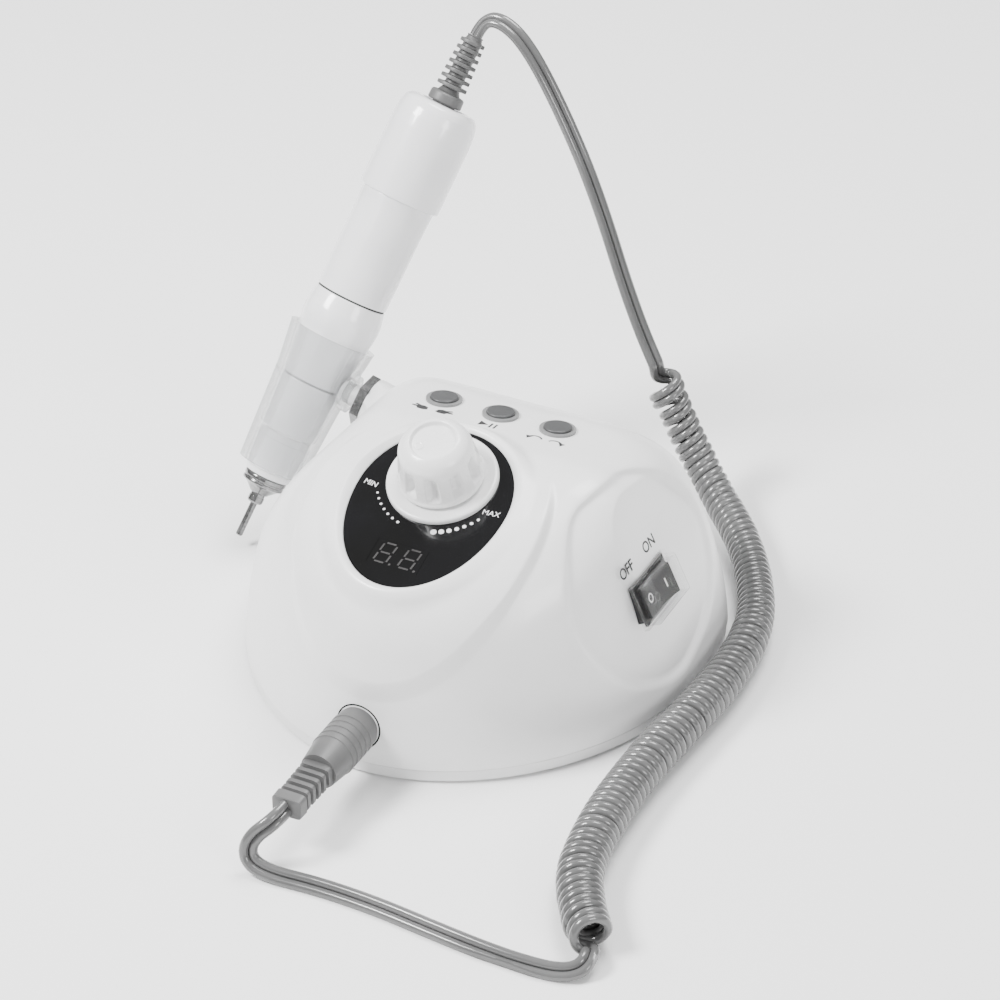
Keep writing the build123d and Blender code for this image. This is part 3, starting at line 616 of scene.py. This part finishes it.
def turned(name, profile, origin, axis, chosen, body, count=96, shape=None, radius=0.35):
    """A turned piece about an axis; shape(angle, station, radius) may change the radius."""
    axis = np.array(axis, float)
    first = unit(np.cross(axis, ALONG_Y if abs(axis[1]) < 0.9 else RIGHT))
    second = np.cross(axis, first)
    outline = rounded(profile, radius)
    angle = np.arange(count) * 2 * pi / count
    rows = []
    for reach, station in outline:
        reaches = np.full(count, reach) if shape is None else shape(angle, station, reach)
        rows.append(
            origin
            + station * axis
            + (reaches * np.cos(angle))[:, None] * first
            + (reaches * np.sin(angle))[:, None] * second
        )
    vertices = np.concatenate(rows)
    faces = grid_faces(len(rows), count)
    return crisp(piece(name, vertices, faces, chosen, body), 50)


def knob_shape(angle, station, reach):
    """Ten thumb dimples round the knob's side, rounded off above and below."""
    deep = smooth_step(station, 4.0, 6.4) * (1 - smooth_step(station, 9.6, 14.4))
    flute = smooth_step(np.cos(10 * angle), -0.25, 0.95)
    return np.where(reach > 10, reach - 2.7 * deep * flute, reach)


KNOB_PROFILE = [(0.5, 2.2), (13.0, 2.0), (13.8, 2.4), (13.8, 3.2), (13.35, 3.7)]
KNOB_PROFILE += [(13.3 - 0.085 * k - 0.0025 * k**2, 3.8 + 0.8 * k) for k in range(1, 14)]
KNOB_PROFILE += [(11.5, 15.6), (10.9, 16.9), (10.0, 17.9), (8.9, 18.7), (7.9, 19.2), (7.3, 19.1),
                 (7.0, 18.3), (6.6, 17.9), (3.0, 18.0), (0.05, 18.0)]
knob = turned("knob_skin", KNOB_PROFILE, DIAL, PANEL_OUT, KNOB, "dial", 240, knob_shape, 0.6)
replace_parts(knob, "speed_knob")
MARK_PROFILE = [(0.05, 18.02), (0.9, 18.03), (1.25, 18.22), (1.6, 18.02), (1.65, 17.8)]
turned("knob_mark", MARK_PROFILE, on_panel(-3.6, -2.8), PANEL_OUT, KNOB, "dial", 32, None, 0.1)


def facets(low, high, sides, depth):
    """Shallow flats round a turned piece between two stations."""
    def shape(angle, station, reach):
        near = smooth_step(station, low, low + 4) * (1 - smooth_step(station, high - 4, high))
        bite = 1 - np.cos((angle * sides / 2 / pi % 1 - 0.5) * 2 * pi / sides)
        flat = reach * (1 - depth * near * (1 - bite / bite.max()))
        return np.where(reach > 11, flat, reach)
    return shape


HANDPIECE_PIECES = {
    "nose_ring": ([(2.6, -44.6), (3.0, -44.7), (3.9, -43.8), (5.6, -42.2), (6.6, -41.5), (7.25, -41.3),
                   (7.4, -41.0), (7.4, -40.4), (7.15, -40.2), (7.15, -39.7), (7.4, -39.5), (7.4, -38.2),
                   (6.6, -38.1)], CHROME, "handpiece", None),
    "lock_sleeve": ([(6.3, -37.9), (7.7, -37.9), (8.0, -37.2), (8.25, -36.1), (8.25, -35.6), (8.05, -35.3),
                     (8.7, -29.0), (9.3, -18.0), (9.9, -8.0), (10.2, -3.2), (9.9, -2.7), (6.3, -2.6)],
                    SLEEVE, "sleeve", None),
    "front_grip": ([(6.3, -2.3), (9.9, -2.3), (10.3, -1.9), (10.8, 1.5), (11.7, 7.5), (12.7, 13.8),
                    (13.3, 17.4), (13.62, 19.6), (13.65, 21.2), (13.45, 23.0), (12.9, 26.0),
                    (12.45, 28.4), (12.2, 28.62), (10.6, 28.62)],
                   HANDPIECE, "handpiece", facets(2, 24, 8, 0.018)),
    "mid_body": ([(10.6, 29.18), (12.2, 29.2), (12.42, 29.45), (12.55, 40.0), (12.75, 55.0), (12.9, 65.8),
                  (12.05, 66.2), (12.05, 72.0)],
                 HANDPIECE, "handpiece", facets(50, 66.5, 8, 0.02)),
    "rear_cap": ([(12.1, 66.0), (13.7, 65.72), (14.15, 65.9), (14.25, 66.5), (14.25, 80.0), (14.2, 90.0),
                  (14.0, 94.0), (13.5, 96.9), (12.6, 98.9), (11.2, 100.0), (9.4, 100.3), (7.6, 100.2),
                  (7.35, 99.9), (7.3, 98.6), (4.2, 98.4)], HANDPIECE, "handpiece", None),
}
for name, (profile, chosen, body, shape) in HANDPIECE_PIECES.items():
    skin = turned(name + "_skin", profile, GRIP_ORIGIN, GRIP, chosen, body, 120, shape, 0.5)
    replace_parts(skin, name)

RELIEF_PROFILE = [(0.5, 98.4), (4.0, 98.4), (4.0, 100.5), (5.7, 100.6), (6.0, 101.0), (5.9, 103.6),
                  (5.4, 104.2), (3.9, 104.5)]
for rib in range(7):
    start, reach = 106.2 + 2.62 * rib, 5.5 - 0.17 * rib
    RELIEF_PROFILE += [(3.0, start), (reach, start + 0.1), (reach, start + 1.35), (3.0, start + 1.5)]
RELIEF_PROFILE += [(2.6, 124.6), (2.9, 125.15), (0.5, 125.2)]


def notched(angle, station, reach):
    """The relief's ribs stop short of two flat sides."""
    return np.where((np.abs(np.cos(angle)) > 0.86) & (reach > 3.4) & (station > 105), 3.3, reach)


relief = turned("relief_skin", RELIEF_PROFILE, GRIP_ORIGIN, GRIP, PLUG, "handpiece", 96, notched, 0.25)
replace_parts(relief, "cord_relief")

# The plug's relief: flat-sided ribs with a block at the end, as rows of half width, half height and y.
RIB_SIDES = 64
rib_rows = [(0.2, 0.2, -107.0), (5.0, 3.5, -107.0), (5.0, 3.5, -109.4)]
for rib in range(4):
    start = -109.6 - 3.0 * rib
    rib_rows += [(3.9, 2.3, start), (3.9, 2.3, start - 1.2), (4.95 - 0.1 * rib, 3.45, start - 1.4),
                 (4.95 - 0.1 * rib, 3.45, start - 2.8)]
rib_rows += [(3.9, 2.3, -121.7), (3.9, 2.3, -122.6), (5.0, 3.55, -122.8), (4.9, 3.45, -126.3),
             (4.6, 3.2, -126.5), (0.2, 0.2, -126.5)]
rib_angle = np.arange(RIB_SIDES) * 2 * pi / RIB_SIDES


def squared(value):
    """A cosine or sine pushed outwards, so that a round outline turns nearly square."""
    return np.sign(value) * np.abs(value) ** 0.32


rib_points = [
    np.stack([
        half * squared(np.cos(rib_angle)), np.full(RIB_SIDES, y), SOCKET_Z + tall * squared(np.sin(rib_angle))
    ], 1)
    for half, tall, y in rib_rows
]
rib_faces = grid_faces(len(rib_rows), RIB_SIDES)
plug_ribs = piece("plug_relief_skin", np.concatenate(rib_points), rib_faces, PLUG, "box")
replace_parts(crisp(plug_ribs, 35), "plug_relief")

# The jack: a thin ring of black plastic that follows the shell round the plug; its black is also painted
# shade for the gap round the plug.
RING_SIDES = 96
RING_PROFILE = ((7.05, -6.0), (7.05, -0.4), (7.1, 0.02), (7.55, 0.08), (7.7, -0.1), (7.7, -6.0))
ring_angle = np.arange(RING_SIDES) * 2 * pi / RING_SIDES
ring_rows = []
for reach, lift in RING_PROFILE:
    low, high = np.full(RING_SIDES, -60.0), np.full(RING_SIDES, -95.0)
    for _ in range(HALVINGS):
        middle = (low + high) / 2
        spots_out = np.stack([reach * np.cos(ring_angle), middle, SOCKET_Z + reach * np.sin(ring_angle)], 1)
        outside = shell_field(spots_out) > 0
        high, low = np.where(outside, middle, high), np.where(outside, low, middle)
    ring_rows.append(np.stack([spots_out[:, 0], low - lift, spots_out[:, 2]], 1))
ring_faces = grid_faces(len(RING_PROFILE), RING_SIDES)
jack_and_gap_shade_ring = piece("jack_and_gap_shade_ring", np.concatenate(ring_rows), ring_faces, SWITCH_BLACK, "box")
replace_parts(jack_and_gap_shade_ring, "handpiece_jack")


# ---------------------------------------------------------------- dial plate and print
DISC_PROFILE = [(4.3, 1.4), (14.6, 1.45), (16.6, 1.5), (17.3, 1.35), (17.7, 0.9), (17.8, 0.1), (17.8, -0.2)]
disc = turned("dial_disc", DISC_PROFILE, DIAL, PANEL_OUT, KNOB, "box", 160, None, 0.3)
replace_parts(disc, "dial_plate")


def flat_shape(name, outlines, place, out, chosen, thickness=0.04, body="box"):
    """Thin print: closed outlines of (across, up) points laid on a surface by place()."""
    vertices, faces = [], []
    for outline in outlines:
        first, count = len(vertices), len(outline)
        for level in (out, out + thickness):
            vertices.extend(place(a, u, level) for a, u in outline)
        faces.append(tuple(first + count + k for k in range(count)))
        faces.extend(
            (first + k, first + (k + 1) % count, first + count + (k + 1) % count, first + count + k)
            for k in range(count)
        )
    return piece(name, vertices, faces, chosen, body, smooth=False)


def circle(across, up, radius, count=28):
    """A closed round outline."""
    return [
        (across + radius * cos(2 * pi * k / count), up + radius * sin(2 * pi * k / count))
        for k in range(count)
    ]


def stroke(points, width):
    """A line of a given width as four-sided pieces, one for each run."""
    shapes = []
    for (ax, ay), (bx, by) in zip(points, points[1:]):
        length = max(((bx - ax) ** 2 + (by - ay) ** 2) ** 0.5, 1e-6)
        nx, ny = -(by - ay) / length * width / 2, (bx - ax) / length * width / 2
        shapes.append([(ax - nx, ay - ny), (bx - nx, by - ny), (bx + nx, by + ny), (ax + nx, ay + ny)])
    return shapes


PANEL_TOP = -0.18
dots = []
for ring, first_angle, size, growth in ((20.6, 213, 0.36, 0.02), (20.7, 288, 0.98, -0.085)):
    for index in range(7):
        angle = radians(first_angle + 6.7 * index)
        dots.append(circle(ring * cos(angle), ring * sin(angle), size + growth * index))
flat_shape("dial_dots", dots, on_panel, PANEL_TOP, PRINT_WHITE)


def lettering(name, words, place, across, up, size, turn, chosen, out, bold=0.004):
    """Plain raised print, laid on a flat face of the object."""
    text = bpy.data.curves.new(name, "FONT")
    text.body = words
    text.size = size
    text.align_x, text.align_y = "CENTER", "CENTER"
    text.extrude = 0.02
    text.offset = bold * size
    mesh = bpy.data.meshes.new_from_object(bpy.data.objects.new(name, text))
    corners = [
        place(across + v.co.x * cos(turn) - v.co.y * sin(turn),
              up + v.co.x * sin(turn) + v.co.y * cos(turn), out + v.co.z)
        for v in mesh.vertices
    ]
    faces = [tuple(p.vertices) for p in mesh.polygons]
    return piece(name, corners, faces, chosen, "box", smooth=False)


lettering("print_min", "MIN", on_panel, -21.0, -8.4, 2.7, radians(-6), PRINT_WHITE, PANEL_TOP, 0.0)
lettering("print_max", "MAX", on_panel, 20.3, -7.4, 2.7, radians(4), PRINT_WHITE, PANEL_TOP, 0.0)


def digit(across, up):
    """A seven-segment 8 with its point, as slanted bars."""
    wide, tall, slant = 4.4, 7.4, 0.12
    shapes = []
    for row in (-0.5, 0, 0.5):
        y = up + row * tall
        shift = slant * row * tall
        shapes += stroke([(across - wide * 0.36 + shift, y), (across + wide * 0.36 + shift, y)], 0.62)
    for side_sign in (-1, 1):
        for half in (-1, 1):
            y0, y1 = up + half * 0.07 * tall, up + half * 0.43 * tall
            x = across + side_sign * wide / 2
            shapes += stroke([(x + slant * (y0 - up), y0), (x + slant * (y1 - up), y1)], 0.62)
    shapes.append(circle(across + wide * 0.72, up - tall / 2, 0.42, 14))
    return shapes


flat_shape("digit_segments", digit(-4.2, -31.8) + digit(4.2, -31.8), on_panel, PANEL_TOP, SEGMENT)
WINDOW = [(-8.6, -36.8), (8.6, -36.8), (8.6, -26.9), (-8.6, -26.9)]
flat_shape("digit_window", [WINDOW], on_panel, -0.26, BLACK, 0.03)

# Button symbols: two hands, play and pause, and two curved arrows.
SYMBOL_UP = -9.0


def arc_arrow(across, up, sign):
    """An arrow bent over in an arc, to one side or the other."""
    points = [
        (across + sign * 2.3 * cos(radians(a)), up + 2.0 * sin(radians(a))) for a in range(20, 161, 20)
    ]
    tip = points[-1]
    head = [(tip[0] + sign * a, tip[1] + u) for a, u in ((-1.2, 0.4), (1.1, 0.6), (-0.2, -1.5))]
    if sign < 0:
        head.reverse()
    return stroke(points, 0.55) + [head]


def mitten(across, up, sign):
    """A plain hand, pointing to one side or the other."""
    palm = [(-2.0, -0.5), (-1.1, -1.0), (0.6, -0.9), (1.0, -0.2), (2.4, 0.0), (2.3, 0.5), (0.9, 0.55),
            (2.0, 1.1), (1.6, 1.5), (0.3, 1.0), (-0.6, 1.1), (-1.6, 0.7)]
    points = [(across + 1.35 * sign * a, up + 1.35 * u) for a, u in palm]
    return [points if sign > 0 else points[::-1]]


symbols = mitten(-BUTTON_PITCH - 3.8, SYMBOL_UP, -1) + mitten(-BUTTON_PITCH + 4.2, SYMBOL_UP + 0.4, 1)
symbols += [[(-3.0, SYMBOL_UP - 1.6), (0.1, SYMBOL_UP), (-3.0, SYMBOL_UP + 1.6)]]
for bar in (1.0, 2.6):
    symbols += stroke([(bar, SYMBOL_UP - 1.6), (bar, SYMBOL_UP + 1.6)], 0.65)
for arrow_sign in (1, -1):
    symbols += arc_arrow(BUTTON_PITCH - 3.4 * arrow_sign, SYMBOL_UP - 0.8, arrow_sign)
flat_shape("button_symbols", symbols, on_deck, 0.02, INK)
lettering("print_off", "OFF", on_switch, -8.2, 12.0, 5.0, 0, INK, 0.02, 0.015)
lettering("print_on", "ON", on_switch, 8.0, 12.0, 5.0, 0, INK, 0.02, 0.015)

ROCKER_TURN = radians(7)
ROCKER_PIVOT = SWITCH - 2 * SWITCH_OUT
ROCKER_RISE, ROCKER_VALLEY = 3.6, 0.217


def on_rocker(along, across, out):
    """A point on the rocker's two faces, which meet in a shallow valley."""
    length = ALONG_Y * cos(ROCKER_TURN) + SWITCH_OUT * sin(ROCKER_TURN)
    normal = SWITCH_OUT * cos(ROCKER_TURN) - ALONG_Y * sin(ROCKER_TURN)
    height = ROCKER_RISE + ROCKER_VALLEY * abs(along) + out
    return ROCKER_PIVOT + along * length + across * SWITCH_UP + height * normal


marks = stroke([(4.6, -1.5), (4.6, 1.5)], 0.5)
ring_outer = [(-4.6 + 1.3 * cos(pi * k / 12), 1.3 * sin(pi * k / 12)) for k in range(25)]
marks += stroke(ring_outer, 0.45)
flat_shape("rocker_marks", marks, on_rocker, 0.0, PRINT_WHITE, 0.05, "rocker")


# ---------------------------------------------------------------- light and floor
floor = bpy.data.objects.new("floor", bpy.data.meshes.new("floor"))
floor.data.from_pydata([(-6, -6, 0), (6, -6, 0), (6, 6, 0), (-6, 6, 0)], [], [(0, 1, 2, 3)])
bpy.context.scene.collection.objects.link(floor)
paper, tree, shader = material("paper", (0.93, 0.93, 0.93), 0.85)
paper_tint = tinted(tree, noise(tree, 3, 2), (0.92, 0.92, 0.92), (0.94, 0.94, 0.94))
tree.links.new(paper_tint, shader.inputs["Base Color"])
floor.data.materials.append(paper)

world = bpy.data.worlds.new("studio")
world.use_nodes = True
sky = world.node_tree
ways = sky.nodes.new("ShaderNodeTexCoord")
split = sky.nodes.new("ShaderNodeSeparateXYZ")
sky.links.new(ways.outputs["Generated"], split.inputs["Vector"])
ceiling = tinted(sky, ranged(sky, split.outputs["Z"], 0.3, 0.7, -0.05, 0.55), (0.30, 0.30, 0.30), (1, 1, 1))
sky.links.new(ceiling, sky.nodes["Background"].inputs["Color"])
sky.nodes["Background"].inputs["Strength"].default_value = 0.8
bpy.context.scene.world = world


def softbox(name, place, size, power):
    """A square area light that faces the object."""
    lamp = bpy.data.lights.new(name, "AREA")
    lamp.shape = "SQUARE"
    lamp.size = size
    lamp.energy = power
    made = bpy.data.objects.new(name, lamp)
    bpy.context.scene.collection.objects.link(made)
    made.location = place
    made.rotation_euler = (Vector((0, 0, 0.05)) - made.location).to_track_quat("-Z", "Y").to_euler()


softbox("key", (-0.6, -0.5, 0.95), 0.36, 27)
softbox("top", (0.1, 0.45, 1.2), 0.6, 19)
softbox("fill", (0.95, -0.45, 0.5), 0.35, 5)
